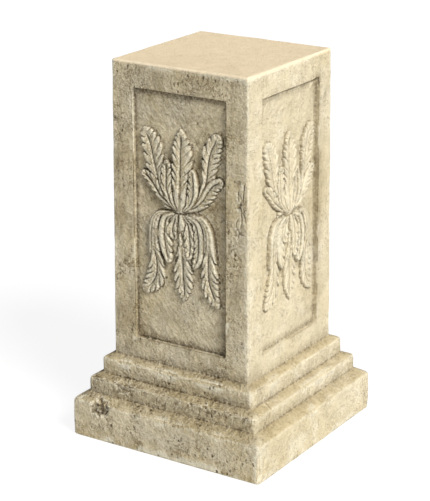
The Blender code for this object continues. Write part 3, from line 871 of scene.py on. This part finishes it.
stoneTones = {
    "cream": screenTone(214, 200, 168), "pale": screenTone(232, 224, 200),
    "buff": screenTone(198, 182, 144), "ochre": screenTone(176, 154, 106),
    "olive": screenTone(142, 129, 96), "grey": screenTone(176, 164, 140),
    "umber": screenTone(82, 66, 42), "brown": screenTone(116, 98, 64),
    "sand": screenTone(235, 214, 179),
}
stoneFinish = {"roughness": 0.86, "bump": 0.006, "bumpStrength": 0.9, "specular": 0.3}


def castStone():
    material = bpy.data.materials.new("weathered_cast_stone")
    material.use_nodes = True
    tree = material.node_tree
    tree.nodes.clear()
    place = addNode(tree, "ShaderNodeTexCoord", {}, {}, "Object")
    across = addNode(tree, "ShaderNodeSeparateXYZ", {}, {0: place}, "X")
    along = addNode(tree, "ShaderNodeSeparateXYZ", {}, {0: place}, "Y")
    height = addNode(tree, "ShaderNodeSeparateXYZ", {}, {0: place}, "Z")

    def cloud(scale, detail=3, rough=0.5, turn=(0, 0, 0), stretch=(1, 1, 1), shift=(0, 0, 0)):
        placing = {"Vector": place, "Location": shift, "Rotation": turn}
        facing = addNode(tree, "ShaderNodeMapping", {}, placing)
        mapped = addNode(tree, "ShaderNodeMapping", {}, {"Vector": facing, "Scale": stretch})
        settings = {"Vector": mapped, "Scale": scale, "Detail": detail, "Roughness": rough}
        return addNode(tree, "ShaderNodeTexNoise", {}, settings)

    def layer(below, factor, tone):
        return addNode(tree, "ShaderNodeMix", {"data_type": "RGBA"}, {0: factor, 6: below, 7: tone}, 2)

    def painted(name):
        return addNode(tree, "ShaderNodeAttribute", {"attribute_name": name}, {}, "Fac")

    def spots(scale, size, stretch):
        # Round marks of many sizes, 1 in their middles
        mapped = addNode(tree, "ShaderNodeMapping", {}, {"Vector": place, "Scale": stretch})
        away = addNode(tree, "ShaderNodeTexVoronoi", {}, {"Vector": mapped, "Scale": scale})
        return 1 - away.between(size * 0.4, size)

    crease, broken, stain = painted("crease"), painted("broken"), painted("stain")
    hidden, turning = painted("shelter"), painted("turning")
    sunk, tread = painted("sunk"), painted("tread")
    broad = cloud(7, 4, 0.55)
    patches = cloud(17, 4, 0.6, shift=(3, 1, 7))
    smudges = cloud(38, 4, 0.65, shift=(6, 2, 9))
    grain = cloud(420, 3, 0.7)
    lumps = cloud(125, 4, 0.6, shift=(4, 6, 2))
    gravel = cloud(235, 3, 0.6)
    streaks = cloud(90, 3, 0.6, stretch=(1, 1, 0.16))
    brushed = cloud(130, 3, 0.6, turn=(0, radians(42), 0), stretch=(1, 1, 0.18), shift=(1, 4, 2))
    onTop = height.between(0.678, 0.684)
    onFoot = 1 - height.between(0.13, 0.17)
    # The -Y and -X sides, not the top: a greyer patina there, and stronger painted shade in creases and
    # hollows and stronger painted highlights on ridges
    patinaAndShadeSide = (0 - across - along).between(-0.006, 0.006) * (1 - onTop)
    pitting = (cloud(20, 3, 0.6, shift=(9, 3, 5)).between(0.44, 0.6) * (1 - sunk * 0.45)).limited()
    holes = spots(120, 0.36, (1, 1, 0.6)) * cloud(210, 2, 0.5).between(0.4, 0.58)
    speckle = cloud(250, 3, 0.65, shift=(2, 5, 3)).between(0.56, 0.68)
    pits = holes * (0.12 + pitting * 0.88) * (0.35 + patinaAndShadeSide * 0.65) * (1 - onTop * 0.8)

    warmth = broad.between(0.4, 0.66) * (0.55 + patinaAndShadeSide * 0.25)
    tone = layer(stoneTones["cream"], warmth, stoneTones["buff"])
    tone = layer(tone, patches.between(0.48, 0.7) * 0.5, stoneTones["pale"])
    tone = layer(tone, patinaAndShadeSide * broad.between(0.36, 0.6) * (0.3 - onFoot * 0.2), stoneTones["buff"])
    tone = layer(tone, patinaAndShadeSide * patches.between(0.44, 0.64) * 0.4, stoneTones["grey"])
    foot = (1 - height.between(0.002, 0.034)) * smudges.between(0.3, 0.62)
    tone = layer(tone, foot * (0.35 + patinaAndShadeSide * 0.45), stoneTones["ochre"])
    tone = layer(tone, tread * (0.1 + smudges * 0.6), stoneTones["ochre"])
    lichen = smudges.between(0.52, 0.72) * (0.08 + patinaAndShadeSide * 0.27 - onFoot * 0.04)
    tone = layer(tone, lichen, stoneTones["olive"])
    tone = layer(tone, onTop * 0.92, stoneTones["sand"])
    fine = streaks.between(0.5, 0.7) * (1 - sunk) * (1 - onFoot) + brushed.between(0.5, 0.7) * sunk
    tone = layer(tone, fine.limited() * (0.08 + patinaAndShadeSide * 0.26), stoneTones["olive"])
    tone = layer(tone, lumps.between(0.5, 0.68) * (0.06 + patinaAndShadeSide * 0.2), stoneTones["pale"])
    tone = layer(tone, gravel.between(0.5, 0.66) * patinaAndShadeSide * 0.2, stoneTones["pale"])
    tone = layer(tone, (0.6 - lumps).between(0.1, 0.26) * (0.06 + patinaAndShadeSide * 0.12), stoneTones["olive"])
    tone = layer(tone, (0.6 - gravel).between(0.14, 0.26) * (0.04 + patinaAndShadeSide * 0.16), stoneTones["brown"])
    tone = layer(tone, grain.between(0.5, 0.7) * 0.15, stoneTones["olive"])
    thread = (1 - (cloud(125, 3, 0.55, shift=(1, 7, 4)) - 0.5).size() * 16).limited()
    thread = thread * smudges.between(0.42, 0.56)
    crackle = thread * (0.25 + pitting * 0.75) * (0.2 + patinaAndShadeSide * 0.6) * (1 - onTop * 0.6)
    tone = layer(tone, crackle, stoneTones["brown"])
    gritty = speckle * (0.25 + pitting * 0.75 + stain) * (0.25 + patinaAndShadeSide * 0.5) * (1 - onTop * 0.7)
    tone = layer(tone, gritty, stoneTones["brown"])
    # Brown from the stain attribute: real stains, and the painted shadows and shade from the stain table
    stainAndShadowBlotch = (stain * (0.35 + smudges * 1.2)).limited()
    tone = layer(tone, stainAndShadowBlotch * (0.5 + patinaAndShadeSide * 0.2), stoneTones["brown"])
    # Olive, then umber, where a point sees little sky: painted shade in hollows and between the leaves, mixed
    # with dirt
    occlusionShadeAndDirt = (hidden.between(0.1, 0.6) * (0.5 + smudges * 0.8)).limited()
    tone = layer(tone, occlusionShadeAndDirt * (0.2 + patinaAndShadeSide * 0.42 + onFoot * 0.02), stoneTones["olive"])
    tone = layer(tone, hidden.between(0.35, 0.8) * (0.15 + patinaAndShadeSide * 0.4), stoneTones["umber"])
    # Pale on ridges and arrises: painted highlight, with wear
    tone = layer(tone, turning.between(0.02, 0.14) * (0.45 + patinaAndShadeSide * 0.25), stoneTones["pale"])
    ragged = cloud(190, 3, 0.65, shift=(8, 2, 6)).between(0.4, 0.58)
    # Umber along the crease mask: painted shade in the leaves' grooves and outlines, at the panels' sunk
    # edges and in the steps' creases, mixed with dirt, and the real cracks and pits
    worn = (crease * (0.15 + smudges * 0.7 + ragged * 0.65)).limited()
    tone = layer(tone, worn * (0.56 + sunk * 0.1 + patinaAndShadeSide * 0.22 + onFoot * 0.12), stoneTones["umber"])
    tone = layer(tone, broken * (0.3 + lumps.between(0.42, 0.58) * 0.6), stoneTones["umber"])
    tone = layer(tone, (pits * 0.9).limited(), stoneTones["umber"])

    relief = grain * 0.25 + lumps * (0.7 + patinaAndShadeSide * 0.7) + gravel * (0.15 + patinaAndShadeSide * 0.5)
    relief = (relief + streaks * (1 - sunk) * 0.4) * (1 - onTop * 0.75)
    relief = relief + brushed * sunk * (0.7 + patinaAndShadeSide * 0.5)
    relief = relief - pits * 0.5 - (speckle + thread) * 0.15 * (1 - onTop * 0.6)
    bumpiness = {"Strength": stoneFinish["bumpStrength"], "Distance": stoneFinish["bump"], "Height": relief}
    bump = addNode(tree, "ShaderNodeBump", {}, bumpiness)
    shader = tree.nodes.new("ShaderNodeBsdfPrincipled")
    tree.links.new(tone.socket, shader.inputs["Base Color"])
    tree.links.new((stoneFinish["roughness"] + grain * 0.12 - 0.06).socket, shader.inputs["Roughness"])
    tree.links.new(bump.socket, shader.inputs["Normal"])
    shader.inputs["Specular IOR Level"].default_value = stoneFinish["specular"]
    output = tree.nodes.new("ShaderNodeOutputMaterial")
    tree.links.new(shader.outputs[0], output.inputs["Surface"])
    return material


studio = {
    "cameraAt": (1.587, -2.472, 1.331), "heading": 32.99, "down": 18.85, "roll": -0.21, "lens": 125.6,
    "sky": 0.135, "sun": 4.42, "sunFrom": (0.69, -0.27, 0.67), "sunWidth": 20, "floor": (0.12, 0.12, 0.12, 1),
    "floorGlow": 0.9,
}


def setStudio():
    scene = bpy.context.scene
    scene.view_settings.view_transform = "Standard"
    camera = bpy.data.objects.new("camera", bpy.data.cameras.new("camera"))
    camera.data.lens = studio["lens"]
    camera.data.sensor_width = 36
    turn = Matrix.Rotation(radians(studio["heading"]), 4, "Z")
    tilt = Matrix.Rotation(radians(90 - studio["down"]), 4, "X")
    roll = Matrix.Rotation(radians(studio["roll"]), 4, "Z")
    camera.matrix_world = Matrix.Translation(studio["cameraAt"]) @ turn @ tilt @ roll
    scene.collection.objects.link(camera)
    scene.camera = camera
    world = bpy.data.worlds.new("studio")
    world.use_nodes = True
    world.node_tree.nodes["Background"].inputs[0].default_value = (1, 1, 1, 1)
    world.node_tree.nodes["Background"].inputs[1].default_value = studio["sky"]
    scene.world = world
    sun = bpy.data.objects.new("sun", bpy.data.lights.new("sun", "SUN"))
    sun.data.energy, sun.data.angle = studio["sun"], radians(studio["sunWidth"])
    sun.rotation_euler = Vector(studio["sunFrom"]).to_track_quat("Z", "Y").to_euler()
    scene.collection.objects.link(sun)
    bm = bmesh.new()
    bmesh.ops.create_grid(bm, x_segments=1, y_segments=1, size=20)
    mesh = bpy.data.meshes.new("floor")
    bm.to_mesh(mesh)
    bm.free()
    floor = bpy.data.objects.new("floor", mesh)
    scene.collection.objects.link(floor)
    paper = bpy.data.materials.new("paper")
    paper.use_nodes = True
    shader = paper.node_tree.nodes["Principled BSDF"]
    shader.inputs["Base Color"].default_value = studio["floor"]
    shader.inputs["Roughness"].default_value = 0.9
    shader.inputs["Emission Color"].default_value = (1, 1, 1, 1)
    shader.inputs["Emission Strength"].default_value = studio["floorGlow"]
    mesh.materials.append(paper)


setStudio()
print("studio set")
pedestal = castPedestal()
pedestal.data.materials.append(castStone())
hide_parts("pedestal")
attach(pedestal, "root")
print("pedestal finished")
